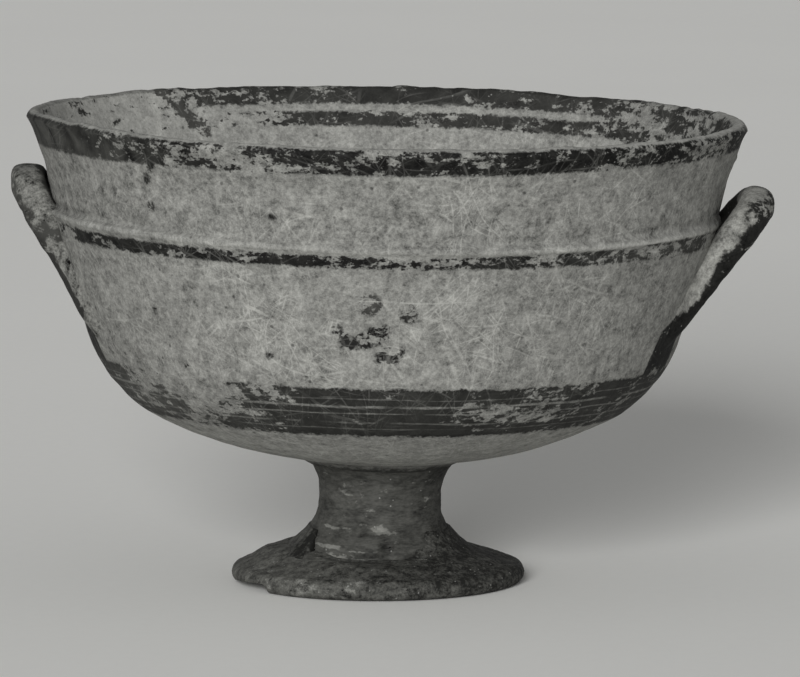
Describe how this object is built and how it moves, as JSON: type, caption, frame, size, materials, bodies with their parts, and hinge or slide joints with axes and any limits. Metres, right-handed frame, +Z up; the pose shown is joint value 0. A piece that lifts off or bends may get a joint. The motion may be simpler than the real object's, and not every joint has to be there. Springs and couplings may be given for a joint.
{
  "type": "kantharos cup",
  "caption": "Stemmed clay drinking cup with a deep open bowl, a flaring rim, upright loop handles at the sides, dark painted bands and a low disc foot.",
  "frame": {"origin": "centre of the foot's resting plane", "axes": "+Z up, +X towards the thicker handle, -Y towards the front"},
  "size_m": [0.2113, 0.1994, 0.131],
  "materials": {
    "bowl_clay": "matt, worn and scratched",
    "foot_clay": "matt, dark and encrusted",
    "handle_clay": "matt, worn dark paint"
  },
  "bodies": {
    "root": {"bowl": "bowl_clay", "stem": "foot_clay", "foot": "foot_clay", "stem_lute": "bowl_clay", "foot_collar": "foot_clay", "handle_left": "handle_clay", "handle_right": "handle_clay", "left_handle_front_lute": "handle_clay", "left_handle_back_lute": "handle_clay", "right_handle_front_lute": "handle_clay", "right_handle_back_lute": "handle_clay"}
  },
  "joints": []
}
